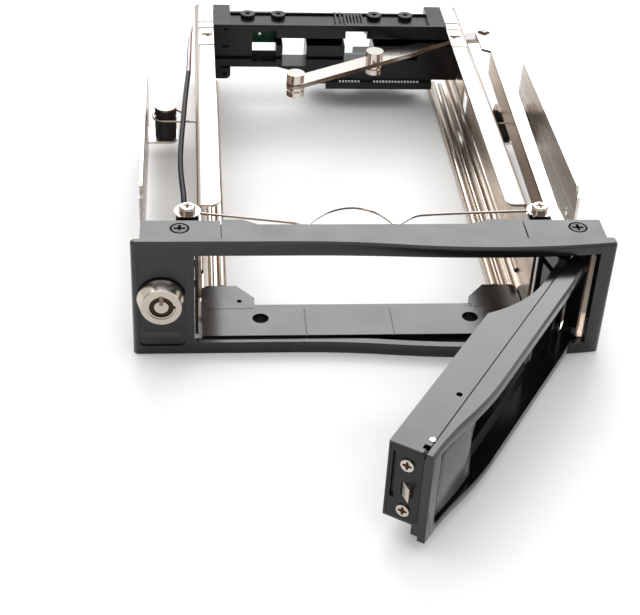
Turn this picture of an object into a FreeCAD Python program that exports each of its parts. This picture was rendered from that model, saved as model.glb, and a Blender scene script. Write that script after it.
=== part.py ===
import FreeCAD, Part
import math
import operator
import os
import Sketcher
from FreeCAD import Placement, Rotation, Vector

# Trayless drive cage for one half-height 5.25 inch bay: a swing door with a key lock at
# the front, two steel rails, an ejector lever at the back and rubber-mounted side plates.
# +X is right, +Y is to the rear and +Z is up; the origin is the bottom centre of the
# plane on which the bezel's lip seats.

DRIVING_SIZES = {
    # bezel
    "rim": 1.6, "bezel_height": 41.6, "lip_depth": 2.4, "bulge_start": -24.0,
    "bulge_peak": 38.0, "bulge_depth": 3.6, "end_relief": 2.6, "left_jamb": 19.2,
    "right_jamb": 5.2, "sill_strip": 4.2, "head_strip": 4.7, "head_rise": 1.3,
    "edge_bevel": 0.8, "end_round": 1.6, "top_step": 0.3, "left_seam": 0.2,
    "right_seam": 0.45, "flange_depth": 8.4, "flange_thick": 2.3, "panel_margin": 2.0,
    "panel_width": 14.4, "panel_sink": 0.6, "panel_corner": 1.5, "light_width": 12.5,
    "light_height": 2.2, "light_level": 5.9,
    # corner blocks
    "block_gap": 0.2, "block_depth": 11.2, "cover_thick": 4.3, "skirt_thick": 0.8,
    "ground_gap": 0.6, "top_screw_back": 6.3, "top_screw_radius": 2.4,
    "top_screw_well": 3.0, "top_screw_head": 1.4, "post_back": 19.4,
    "tongue_thick": 1.0, "tongue_radius": 3.6,
    # front shelf
    "shelf_top": 5.0, "shelf_depth": 14.8, "step_depth": 18.7, "ear_depth": 28.4,
    "ear_inner": 41.5, "ear_foot": 35.8, "ear_slope": 2.8, "ear_drop": 0.6,
    "shelf_hole": 34.2, "shelf_hole_back": 9.2, "shelf_hole_radius": 2.6,
    # rails
    "side_channel": 17.8, "sheet": 1.0, "rail_top": 34.6, "lip_width": 7.4,
    "foot_width": 9.6, "rail_front": 12.6, "rail_rear": 187.0, "lip_front": 31.0,
    "hem_front": 30.0, "hem_rear": 181.0, "hem_radius": 1.5, "bead_radius": 1.0,
    "wall_bead_level": 9.0,
    # side plates: the hole places are those of the half-height bay standard
    "body_width": 146.0, "plate_top": 36.2, "plate_bottom": 6.0, "plate_front": 37.0,
    "plate_rear": 133.5, "mount_front": 47.4, "mount_pitch": 79.25,
    "mount_low": 9.91, "mount_high": 21.84, "mount_radius": 1.7,
    "tab_width": 10.8, "tab_depth": 12.0,
    # dampers
    "damper_inset": 6.4, "damper_radius": 4.1, "damper_height": 11.4,
    "damper_groove": 8.0, "cap_thick": 0.8, "clip_wire": 0.45,
    # spring wire and its screws
    "washer_radius": 4.1, "washer_thick": 0.6, "wire_radius": 0.45, "pan_radius": 2.7,
    # lock
    "lock_inset": 9.1, "lock_collar": 7.65, "lock_face": 6.2, "lock_proud": 4.4,
    "lock_barrel": 4.5, "lock_length": 12.8, "plug_radius": 4.3,
    "key_outer": 3.75, "key_inner": 2.2, "key_depth": 3.0, "key_slot": 1.5,
    "cam_length": 8.6,
    # backplane
    "housing_front": 163.8, "housing_rear": 178.0, "ear_rear": 183.0, "housing_top": 36.2,
    "housing_left_low": 17.9, "housing_low": 12.6, "trough_depth": 1.6,
    "sill_depth": 10.6,
    "board_thick": 1.6, "contact_pitch": 1.27, "signal_left": 4.4, "power_left": 18.4,
    # ejector lever and link
    "pivot_inset": 5.2, "pivot_y": 167.5, "lever_level": 28.0, "lever_thick": 1.8,
    "lever_width": 7.0, "lever_waist": 4.6, "far_roller": 27.3, "near_roller": 10.5,
    "roller_radius": 3.4, "roller_up": 3.4, "roller_down": 3.8, "lever_open": 31.2, "arm_length": 14.85,
    "arm_drop": 21.2, "link_wall": 8.8, "link_pin_radius": 1.4,
    # door
    "hinge_off": 4.0, "hinge_y": 5.7, "door_open": 57.3, "door_gap": 1.9,
    "door_low": 4.6, "door_high": 35.4, "door_front": 2.9, "door_swell": 3.4,
    "swell_end": -14.0, "door_peak": 38.0, "tail_length": 4.8, "tail_relief": 1.7,
    "frame_thick": 2.3, "frame_side": 3.3, "body_low": 9.0, "body_drop": 0.4,
    "body_back": 10.2, "bend_x": 12.7, "thin_part": 16.2, "thin_back": 2.2, "window_sink": 0.4, "scoop_margin": 2.2,
    "hinge_pin_radius": 1.5, "spring_radius": 3.0, "spring_pitch": 1.1,
    "crank_length": 8.24, "crank_lag": 28.65, "crank_level": 31.6, "crank_thick": 2.8,
    "handle_inset": 6.3, "handle_y": 0.6, "handle_length": 21.7, "bolt_low": 18.1,
    "bolt_high": 22.6, "bolt_front": 2.4, "bolt_back": 5.6, "bolt_proud": 2.3,
    # LED lead
    "lead_radius": 1.0, "strand_radius": 0.35,
    # clearance between pieces that are seated on one another
    "fit": 0.05,
}


class Size:
    """A length or an angle: its number now, and the sheet expression that gives it."""

    def __init__(self, value, text):
        self.value = value
        self.text = text

    def join(self, other, sign, rule, swapped=False):
        first, second = self, as_size(other)
        if swapped:
            first, second = second, first
        return Size(rule(first.value, second.value), "(%s %s %s)" % (first.text, sign, second.text))

    def __add__(self, other):
        return self.join(other, "+", operator.add)

    def __radd__(self, other):
        return self.join(other, "+", operator.add, True)

    def __sub__(self, other):
        return self.join(other, "-", operator.sub)

    def __rsub__(self, other):
        return self.join(other, "-", operator.sub, True)

    def __mul__(self, other):
        return self.join(other, "*", operator.mul)

    def __rmul__(self, other):
        return self.join(other, "*", operator.mul, True)

    def __truediv__(self, other):
        return self.join(other, "/", operator.truediv)

    def __neg__(self):
        return self * -1


def as_size(number):
    return number if isinstance(number, Size) else Size(float(number), "%.6f" % number)


def sine(angle):
    return Size(math.sin(math.radians(angle.value)), "sin(%s * 1 deg)" % angle.text)


def cosine(angle):
    return Size(math.cos(math.radians(angle.value)), "cos(%s * 1 deg)" % angle.text)


def bind(owner, path, size):
    """Ties a property, placement entry or constraint to the sheet."""
    if "Sizes." in size.text:
        owner.setExpression(path, size.text)


class Sizes:
    pass


doc = FreeCAD.newDocument("drive_cage")
sheet = doc.addObject("Spreadsheet::Sheet", "Sizes")
s = Sizes()
for row, (name, value) in enumerate(DRIVING_SIZES.items(), 1):
    sheet.set("A%d" % row, name)
    sheet.set("B%d" % row, str(value))
    sheet.setAlias("B%d" % row, name)
    setattr(s, name, Size(value, "Sizes.%s" % name))
doc.recompute()
nodes = []

# ---- places that follow from the width between the side plates ------------------------

right = s.body_width / 2 + s.rim
left = -right
plate_outer = s.body_width / 2
plate_inner = plate_outer - s.sheet
rail_outer = plate_inner - s.side_channel
rail_inner = rail_outer - s.sheet
rail_lip = rail_outer - s.lip_width
rail_foot = rail_outer - s.foot_width
shelf_reach = rail_inner - 0.2
block_reach = plate_inner - s.block_gap
seam = rail_outer - 6.9
hinge_x = rail_outer + s.hinge_off
pivot_x = rail_outer - s.pivot_inset
roller_far, roller_near = pivot_x + s.far_roller, pivot_x - s.near_roller
post_left, post_right = -rail_outer - 3.2, rail_outer + 0.4
top_screw_left, top_screw_right = -rail_outer - 5.6, rail_outer + 9.7


# ---- sketches ------------------------------------------------------------------------

class Bend:
    """A corner reached along an arc: turn is 1 to the left and -1 to the right."""

    def __init__(self, x, y, radius, turn):
        self.x, self.y, self.radius, self.turn = as_size(x), as_size(y), as_size(radius), turn


def corner(item):
    if isinstance(item, Bend):
        return item
    return Bend(item[0], item[1], 0, 0)


def arc_between(start, end, radius, turn):
    """The shorter arc from start to end; it is stored anticlockwise."""
    chord = end - start
    height = math.sqrt(max(radius * radius - chord.Length * chord.Length / 4, 0))
    side = Vector(-chord.y, chord.x, 0).normalize() * turn
    centre = start + chord / 2 + side * height
    first, last = (start, end) if turn > 0 else (end, start)
    angles = [math.atan2(p.y - centre.y, p.x - centre.x) for p in (first, last)]
    return Part.ArcOfCircle(Part.Circle(centre, Vector(0, 0, 1), radius), angles[0], angles[1])


def fix(sketch, kind, place, size):
    index = sketch.addConstraint(Sketcher.Constraint(kind, *place, size.value))
    bind(sketch, "Constraints[%d]" % index, size)


def draw_outline(sketch, corners):
    corners = [corner(item) for item in corners]
    ends = []
    for here, there in zip(corners, corners[1:] + corners[:1]):
        start = Vector(here.x.value, here.y.value, 0)
        end = Vector(there.x.value, there.y.value, 0)
        if there.turn:
            edge = sketch.addGeometry(arc_between(start, end, there.radius.value, there.turn), False)
            ends.append((edge, 1, 2) if there.turn > 0 else (edge, 2, 1))
            fix(sketch, "Radius", (edge,), there.radius)
        else:
            ends.append((sketch.addGeometry(Part.LineSegment(start, end), False), 1, 2))
    for here, there, end, following in zip(corners, corners[1:] + corners[:1], ends, ends[1:] + ends[:1]):
        sketch.addConstraint(Sketcher.Constraint("Coincident", end[0], end[2], following[0], following[1]))
        fix(sketch, "DistanceX", (-1, 1, end[0], end[1]), here.x)
        fix(sketch, "DistanceY", (-1, 1, end[0], end[1]), here.y)


def draw_circle(sketch, x, y, radius):
    x, y, radius = as_size(x), as_size(y), as_size(radius)
    edge = sketch.addGeometry(Part.Circle(Vector(x.value, y.value, 0), Vector(0, 0, 1), radius.value), False)
    fix(sketch, "DistanceX", (-1, 1, edge, 3), x)
    fix(sketch, "DistanceY", (-1, 1, edge, 3), y)
    fix(sketch, "Radius", (edge,), radius)


def box(x0, y0, x1, y1):
    return [(x0, y0), (x1, y0), (x1, y1), (x0, y1)]


def rounded_box(x0, y0, x1, y1, radius):
    """A box from its lower left to its upper right corner with rounded corners."""
    return [Bend(x0 + radius, y0, radius, 1), (x1 - radius, y0),
            Bend(x1, y0 + radius, radius, 1), (x1, y1 - radius),
            Bend(x1 - radius, y1, radius, 1), (x0 + radius, y1),
            Bend(x0, y1 - radius, radius, 1), (x0, y0 + radius)]


def capsule(x, y, length, angle, radius):
    """A bar with round ends that starts round (x, y) and runs along an angle."""
    along_x, along_y = cosine(as_size(angle)), sine(as_size(angle))
    end_x, end_y = x + along_x * length, y + along_y * length
    side_x, side_y = along_y * radius, -along_x * radius
    return [Bend(x + side_x, y + side_y, radius, 1), (end_x + side_x, end_y + side_y),
            Bend(end_x + along_x * radius, end_y + along_y * radius, radius, 1),
            Bend(end_x - side_x, end_y - side_y, radius, 1), (x - side_x, y - side_y),
            Bend(x - along_x * radius, y - along_y * radius, radius, 1)]


def cross(x, y, reach, half):
    """The plus-shaped recess of a screw head."""
    return [(x - reach, y - half), (x - half, y - half), (x - half, y - reach),
            (x + half, y - reach), (x + half, y - half), (x + reach, y - half),
            (x + reach, y + half), (x + half, y + half), (x + half, y + reach),
            (x - half, y + reach), (x - half, y + half), (x - reach, y + half)]


def mirrored(corners, side):
    """The outline as it is for side 1, or mirrored in x for side -1."""
    return [Bend(c.x * side, c.y, c.radius, c.turn * side) for c in map(corner, corners)]


def ogee(x0, y0, x1, y1, turn):
    """Two equal arcs that leave and arrive parallel to x; the start itself is left out."""
    width, rise = x1 - x0, y1 - y0
    radius = (width * width + rise * rise) / (rise * 4)
    if radius.value < 0:
        radius = -radius
    return [Bend((x0 + x1) / 2, (y0 + y1) / 2, radius, turn), Bend(x1, y1, radius, -turn)]


def flat_arc(x0, y0, x1, y1, turn):
    """One shallow arc that is parallel to x at one of its ends."""
    width, rise = x1 - x0, y1 - y0
    radius = (width * width + rise * rise) / (rise * 2)
    if radius.value < 0:
        radius = -radius
    return Bend(x1, y1, radius, turn)


def shift(corners, dx, dy):
    return [Bend(c.x + dx, c.y + dy, c.radius, c.turn) for c in map(corner, corners)]


# ---- features ------------------------------------------------------------------------

def new_body(label):
    body = doc.addObject("PartDesign::Body", label)
    body.Label = label
    return body


def node(label):
    """A body that is a sub-part of its own, with a file named after it."""
    body = new_body(label)
    nodes.append(body)
    return body


def sketch_on(body, plane, level, loops):
    """A sketch on an origin plane of the body, moved along that plane's world axis."""
    level = as_size(level)
    sketch = body.newObject("Sketcher::SketchObject", "Sketch")
    roles = {feature.Role: feature for feature in body.Origin.OriginFeatures}
    sketch.AttachmentSupport = (roles[plane + "_Plane"], [""])
    sketch.MapMode = "FlatFace"
    offset = -level if plane == "XZ" else level
    sketch.AttachmentOffset = Placement(Vector(0, 0, offset.value), Rotation())
    bind(sketch, "AttachmentOffset.Base.z", offset)
    for loop in loops:
        if isinstance(loop, tuple):
            draw_circle(sketch, *loop)
        else:
            draw_outline(sketch, loop)
    return sketch


def pad(body, plane, low, high, *loops):
    """Adds the loops as a solid between two levels of the plane's world axis."""
    feature = body.newObject("PartDesign::Pad", "Pad")
    feature.Profile = sketch_on(body, plane, low, loops)
    feature.Reversed = plane == "XZ"
    length = as_size(high) - low
    feature.Length = length.value
    bind(feature, "Length", length)
    doc.recompute()
    return feature


def cut(body, plane, low, high, *loops):
    """Removes the loops between two levels, and checks that something went."""
    before = body.Shape.Volume
    feature = body.newObject("PartDesign::Pocket", "Pocket")
    feature.Profile = sketch_on(body, plane, low, loops)
    feature.Reversed = plane != "XZ"
    length = as_size(high) - low
    feature.Length = length.value
    bind(feature, "Length", length)
    doc.recompute()
    if not body.Shape.Volume < before:
        raise RuntimeError("A pocket in %s cuts nothing" % body.Label)
    return feature


def turn_profile(body, corners):
    """Turns a profile in the XZ plane, whose x is the radius, about the body's Z axis."""
    feature = body.newObject("PartDesign::Revolution", "Revolution")
    feature.Profile = sketch_on(body, "XZ", 0, [corners])
    feature.ReferenceAxis = (feature.Profile[0], ["V_Axis"])
    feature.Angle = 360
    doc.recompute()
    return feature


def dress(body, kind, size, test):
    """Rounds (Fillet) or bevels (Chamfer) each edge of the body that passes the test."""
    base = body.Tip
    size = as_size(size)
    chosen = ["Edge%d" % (i + 1) for i, edge in enumerate(base.Shape.Edges) if test(edge)]
    if not chosen:
        raise RuntimeError("No edge to dress in %s" % body.Label)
    feature = body.newObject("PartDesign::" + kind, kind)
    feature.Base = (base, chosen)
    entry = "Radius" if kind == "Fillet" else "Size"
    setattr(feature, entry, size.value)
    bind(feature, entry, size)
    doc.recompute()
    return feature


def lies_at(**places):
    """A test for an edge whose ends and middle all have these coordinates."""
    def test(edge):
        points = [edge.valueAt(edge.FirstParameter + share * (edge.LastParameter - edge.FirstParameter))
                  for share in (0.0, 0.5, 1.0)]
        return all(abs(getattr(point, axis) - as_size(place).value) < 0.02
                   for axis, place in places.items() for point in points)
    return test


def place(item, x=0, y=0, z=0, axis=(0, 0, 1), angle=0):
    """Places a sub-part, with its base point and turn tied to the sheet."""
    x, y, z, angle = as_size(x), as_size(y), as_size(z), as_size(angle)
    item.Placement = Placement(Vector(x.value, y.value, z.value), Rotation(Vector(*axis), angle.value))
    bind(item, "Placement.Base.x", x)
    bind(item, "Placement.Base.y", y)
    bind(item, "Placement.Base.z", z)
    bind(item, "Placement.Rotation.Angle", angle)


def bent_path(points):
    """Straight runs joined by tangent arcs, each as large as its two runs allow."""
    edges = []
    here = points[0]
    for before, bend, after in zip(points, points[1:], points[2:]):
        into, out = (bend - before).normalize(), (after - bend).normalize()
        reach = 0.45 * min((bend - before).Length, (after - bend).Length)
        start, end = bend - into * reach, bend + out * reach
        half_turn = into.getAngle(out) / 2
        radius = reach / math.tan(half_turn)
        sagitta = radius / math.cos(half_turn) - radius
        middle = bend + (out - into).normalize() * sagitta
        edges.append(Part.LineSegment(here, start).toShape())
        edges.append(Part.Arc(start, middle, end).toShape())
        here = end
    edges.append(Part.LineSegment(here, points[-1]).toShape())
    return Part.Wire(edges)


def wire_ring(start, tangent, radius):
    """The eight-sided section of a thin wire."""
    turn = Rotation(Vector(0, 0, 1), tangent)
    angles = [math.radians(22.5 + 45 * step) for step in range(9)]
    return Part.makePolygon([start + turn.multVec(Vector(math.cos(a), math.sin(a), 0)) * radius
                             for a in angles])


def tube(label, paths, radius):
    """One node of thin wires, each swept along its own path."""
    solids = []
    for points in paths:
        path = bent_path([Vector(*point) for point in points])
        start = path.OrderedVertexes[0].Point
        ring = wire_ring(start, Vector(*points[1]) - Vector(*points[0]), radius.value)
        solid = path.makePipeShell([ring], True, False)
        expected = math.sqrt(8) * radius.value ** 2 * path.Length
        if abs(solid.Volume - expected) > 0.02 * expected:
            raise RuntimeError("The tube %s has the wrong volume" % label)
        solids.append(solid)
    return shape_node(label, solids)


def shape_node(label, solids):
    """A node of swept solids, which stand outside the PartDesign bodies."""
    feature = doc.addObject("Part::Feature", label)
    feature.Label = label
    feature.Shape = solids[0] if len(solids) == 1 else Part.makeCompound(solids)
    feature.Placement = Placement()
    nodes.append(feature)
    return feature


# ---- bezel ---------------------------------------------------------------------------

opening_left = left + s.left_jamb
opening_right = right - s.right_jamb
opening_top = s.bezel_height - s.head_strip
peak = s.lip_depth + s.bulge_depth
bezel = node("front_bezel")
pad(bezel, "XY", 0, s.bezel_height,
    [(left, 0), (right, 0), (right, s.end_relief - peak),
     flat_arc(right, s.end_relief - peak, s.bulge_peak, -peak, -1),
     *ogee(s.bulge_peak, -peak, s.bulge_start, -s.lip_depth, -1),
     (left, -s.lip_depth)])
head = opening_top + s.head_rise
cut(bezel, "XZ", -9, 1,
    [(opening_left, s.sill_strip), (opening_right, s.sill_strip), (opening_right, head),
     (s.bulge_peak, head), *ogee(s.bulge_peak, head, s.bulge_start, opening_top, 1),
     (opening_left, opening_top)])
# the sill keeps the lip's thickness, so a crescent stays open behind the bulge
reach = (opening_right - s.bulge_peak) / (right - s.bulge_peak)
inner_peak = -s.bulge_depth
inner_end = inner_peak + s.end_relief * reach * reach
cut(bezel, "XY", 0, s.sill_strip,
    [(s.bulge_start, 1), (opening_right, 1), (opening_right, inner_end),
     flat_arc(opening_right, inner_end, s.bulge_peak, inner_peak, -1),
     *ogee(s.bulge_peak, inner_peak, s.bulge_start, 0, -1)])
dress(bezel, "Fillet", s.end_round, lambda edge: lies_at(x=left, y=-s.lip_depth)(edge)
      or lies_at(x=right, y=s.end_relief - peak)(edge))
dress(bezel, "Chamfer", s.edge_bevel,
      lambda edge: lies_at(z=s.bezel_height)(edge) and not lies_at(y=0)(edge)
      and not lies_at(x=left)(edge) and not lies_at(x=right)(edge))
panel_left = left + s.panel_margin
lock_x, lock_height = left + s.lock_inset, s.bezel_height / 2
cut(bezel, "XZ", -s.lip_depth, s.panel_sink - s.lip_depth,
    rounded_box(panel_left, 3.0, panel_left + s.panel_width, 36.4, s.panel_corner))
cut(bezel, "XZ", -s.lip_depth, 0, (lock_x, lock_height, s.lock_barrel + s.fit))
light_left = panel_left + 0.6
cut(bezel, "XZ", -s.lip_depth, 0,
    box(light_left, s.light_level, light_left + s.light_width, s.light_level + s.light_height))
flange_top = s.bezel_height - s.top_step
pad(bezel, "XY", flange_top - s.flange_thick, flange_top,
    [(s.left_seam - seam, 0), (seam - s.right_seam, 0), (seam - s.right_seam, s.block_depth),
     (seam - 10.3, s.block_depth), (seam - 18.3, s.flange_depth), (11.6 - seam, s.flange_depth),
     (6.8 - seam, s.block_depth), (s.left_seam - seam, s.block_depth)])

light_bar = node("led_light_bar")
pad(light_bar, "XZ", s.panel_sink - s.lip_depth, 0,
    box(light_left + s.fit, s.light_level + s.fit,
        light_left + s.light_width - s.fit, s.light_level + s.light_height - s.fit))
led_board = node("led_board")
pad(led_board, "XZ", 0, 1.2,
    box(light_left + 1.4, s.light_level - 1.6, light_left + s.light_width + 1.4, s.light_level + 3.8))

# ---- corner blocks, with their countersunk screws ------------------------------------

plate_base = flange_top - s.cover_thick
for side, name, screw_x, post_x in ((-1, "left_corner_block", -top_screw_left, -post_left),
                                    (1, "right_corner_block", top_screw_right, post_right)):
    block = node(name)
    pad(block, "XY", plate_base, flange_top,
        mirrored(box(seam, 0, block_reach, s.block_depth), side))
    pad(block, "XY", s.ground_gap, flange_top,
        mirrored(box(block_reach - s.skirt_thick, 0, block_reach, s.block_depth), side))
    pad(block, "XY", 6.0, 20.0,
        mirrored(box(block_reach - s.skirt_thick, 3.0, plate_inner, 9.0), side))
    pad(block, "XY", plate_base, plate_base + s.tongue_thick,
        mirrored([(post_x - s.tongue_radius, s.block_depth - 1),
                  (post_x + s.tongue_radius, s.block_depth - 1),
                  (post_x + s.tongue_radius, s.post_back),
                  Bend(post_x, s.post_back + s.tongue_radius, s.tongue_radius, 1),
                  Bend(post_x - s.tongue_radius, s.post_back, s.tongue_radius, 1)], side))
    cut(block, "XY", flange_top - s.top_screw_head, flange_top,
        (screw_x * side, s.top_screw_back, s.top_screw_well))
    dress(block, "Chamfer", 0.5, lies_at(z=flange_top, y=s.block_depth))
bracket_top = s.ground_gap + 2.8
pad(block, "XY", bracket_top, plate_base,
    box(rail_outer + 0.4, s.block_depth - 0.3, rail_outer + 5.8, s.block_depth + 0.9))
cut(block, "XY", plate_base, plate_base + 2.4, (hinge_x, s.hinge_y, s.hinge_pin_radius + s.fit))

bezel_screws = node("bezel_screws")
for screw_x in (top_screw_left, top_screw_right):
    pad(bezel_screws, "XY", flange_top - s.top_screw_head, flange_top,
        (screw_x, s.top_screw_back, s.top_screw_radius))
for screw_x in (top_screw_left, top_screw_right):
    cut(bezel_screws, "XY", flange_top - 0.9, flange_top, cross(screw_x, s.top_screw_back, 1.8, 0.45))

# ---- wire spring on two washered screws ----------------------------------------------

post_top = plate_base + s.tongue_thick
washer_base = post_top + s.wire_radius * 2
washer_top = washer_base + s.washer_thick
posts = ((post_left, s.post_back), (post_right, s.post_back))
washers = node("spring_washers")
pad(washers, "XY", washer_base, washer_top, *[(x, y, s.washer_radius) for x, y in posts])
cut(washers, "XY", washer_base, washer_top, *[(x, y, 1.3) for x, y in posts])
spring_screws = node("spring_screws")
pad(spring_screws, "XY", post_top, washer_top, *[(x, y, 1.2) for x, y in posts])
pad(spring_screws, "XY", washer_top, washer_top + 1.7, *[(x, y, s.pan_radius) for x, y in posts])
dress(spring_screws, "Chamfer", 0.6,
      lambda edge: lies_at(z=washer_top + 1.7)(edge) and edge.Length > 12)
cut(spring_screws, "XY", washer_top + 0.7, washer_top + 1.7, *[cross(x, y, 1.5, 0.3) for x, y in posts])
wire_level = (post_top + s.wire_radius).value
tube("spring_wire", [[(x, y, wire_level) for x, y in (
    (post_left.value + 2.8, 19.6), (-23.0, 13.4), (-20.0, 11.5), (-18.6, 14.8), (-12.5, 20.8),
    (-5.0, 23.2), (2.1, 20.2), (6.0, 14.6), (7.6, 11.4), (10.2, 14.2), (14.5, 17.9),
    (24.0, 18.9), (post_right.value - 1.7, 20.6))]], s.wire_radius)

# ---- lock: turned parts drawn upright, then laid forward ----------------------------

lock_front = s.lip_depth + s.lock_proud
lock_body = node("lock_body")
turn_profile(lock_body, [(s.plug_radius + s.fit - 0.9, -s.lock_length),
                         (s.lock_barrel, -s.lock_length), (s.lock_barrel, s.lip_depth),
                         (s.lock_collar, s.lip_depth), (s.lock_collar, s.lip_depth + 0.5),
                         (s.lock_face + 0.2, lock_front - 0.3), (s.lock_face, lock_front),
                         (s.plug_radius + s.fit, lock_front), (s.plug_radius + s.fit, 0),
                         (s.plug_radius + s.fit - 0.9, 0)])
lock_plug = node("lock_plug")
turn_profile(lock_plug, [(0, -s.lock_length - 2.4), (1.8, -s.lock_length - 2.4), (1.8, -s.lock_length),
                         (s.plug_radius - 0.9, -s.lock_length), (s.plug_radius - 0.9, s.fit),
                         (s.plug_radius, s.fit), (s.plug_radius, lock_front - 0.3),
                         (s.key_outer, lock_front - 0.3), (s.key_outer, lock_front - s.key_depth),
                         (s.key_inner, lock_front - s.key_depth), (s.key_inner, lock_front - 0.5),
                         (0, lock_front - 0.5)])
cut(lock_plug, "XY", lock_front - s.key_depth, lock_front,
    box(-s.key_slot / 2, 0.7, s.key_slot / 2, s.plug_radius + 0.5))
cut(lock_plug, "XY", lock_front - s.key_depth, lock_front, box(3.2, -0.5, s.plug_radius + 0.5, 0.5))
lock_clip = node("lock_clip")
pad(lock_clip, "XY", -1.2, 0, box(-4.7, -7.0, 4.7, 7.0))
cut(lock_clip, "XY", -1.2, 0, (0, 0, s.lock_barrel + s.fit))
lock_cam = node("lock_cam")
pad(lock_cam, "XY", -s.lock_length - 1.4, -s.lock_length,
    capsule(as_size(0), as_size(0), s.cam_length - 3, 90, as_size(3.0)))
cut(lock_cam, "XY", -s.lock_length - 1.4, -s.lock_length, (0, 0, 1.85))
for item in (lock_body, lock_plug, lock_clip, lock_cam):
    place(item, lock_x, 0, lock_height, (1, 0, 0), 90)

# ---- front shelf, hinge bracket and strike -------------------------------------------

rail_floor = s.ground_gap + s.sheet
step_level = s.shelf_top - 1.4
shelf = node("front_shelf")
edge_left = [(-s.ear_inner, s.ear_depth), (1.5 - shelf_reach, s.ear_depth),
             (-shelf_reach, s.ear_depth - 1.5), (-shelf_reach, 0)]
edge_right = [(shelf_reach, 0), (shelf_reach, s.ear_depth - 1.5),
              (shelf_reach - 1.5, s.ear_depth), (s.ear_inner, s.ear_depth)]
pad(shelf, "XY", rail_floor, step_level,
    edge_left + edge_right + [(s.ear_foot, s.step_depth + s.ear_slope), (s.ear_foot, s.step_depth),
                              (-s.ear_foot, s.step_depth), (-s.ear_foot, s.step_depth + s.ear_slope)])
pad(shelf, "XY", step_level, s.shelf_top, box(-shelf_reach, 0, shelf_reach, s.shelf_depth))
pad(shelf, "XY", step_level, s.shelf_top - s.ear_drop,
    *[mirrored([(s.ear_foot, s.shelf_depth), *edge_right[1:],
                (s.ear_foot, s.step_depth + s.ear_slope)], side) for side in (-1, 1)])
for edge_x in (-shelf_reach, shelf_reach):
    dress(shelf, "Chamfer", 0.9, lies_at(x=edge_x, z=rail_floor))
pad(shelf, "XY", 0.7, rail_floor, box(1 - shelf_reach, 0, shelf_reach - 1, 1.6))
cut(shelf, "XY", rail_floor, s.shelf_top, (-s.shelf_hole, s.shelf_hole_back, s.shelf_hole_radius),
    (s.shelf_hole, s.shelf_hole_back, s.shelf_hole_radius), (-40.7, 19.6, 0.8))
for seam_x in (-20.0, 8.0):
    cut(shelf, "XY", s.shelf_top - 0.3, s.shelf_top, box(as_size(seam_x), 0, seam_x + 0.3, s.shelf_depth))
bracket = node("hinge_bracket")
skirt_inner = block_reach - s.skirt_thick
pad(bracket, "XY", s.ground_gap, bracket_top, box(shelf_reach, 0, skirt_inner, s.rail_front))
pad(bracket, "XY", s.ground_gap, plate_base - 0.6, box(skirt_inner - s.sheet, 1.0, skirt_inner, 10.9))
cut(bracket, "XY", s.ground_gap, bracket_top, (hinge_x, s.hinge_y, s.hinge_pin_radius + s.fit))
hinge_pin = node("hinge_pin")
pad(hinge_pin, "XY", s.ground_gap, plate_base + 2.2, (hinge_x, s.hinge_y, s.hinge_pin_radius))
coil_low = bracket_top.value + s.wire_radius.value
coil = [Vector(hinge_x.value + s.spring_radius.value * math.cos(step * math.pi / 6),
               s.hinge_y.value + s.spring_radius.value * math.sin(step * math.pi / 6),
               coil_low + s.spring_pitch.value * step / 12) for step in range(49)]
coil_ring = wire_ring(coil[0], coil[1] - coil[0], s.wire_radius.value)
shape_node("hinge_spring", [Part.makePolygon(coil).makePipeShell([coil_ring], True, False, 1)])
strike = node("strike_plate")
strike_outer = -rail_outer - s.sheet
pad(strike, "YZ", strike_outer, -rail_outer, box(0.3, 5.6, 18.0, s.bolt_high + 3.4))
cut(strike, "YZ", strike_outer, -rail_outer,
    box(s.bolt_front - 0.7, s.bolt_low - 0.8, s.bolt_back + 0.7, s.bolt_high + 0.8))
rivets = node("strike_rivets")
pad(rivets, "YZ", strike_outer - 0.7, strike_outer, (15.2, 15.0, 1.5), (15.2, s.bolt_high, 1.5))

# ---- rails ---------------------------------------------------------------------------

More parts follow.
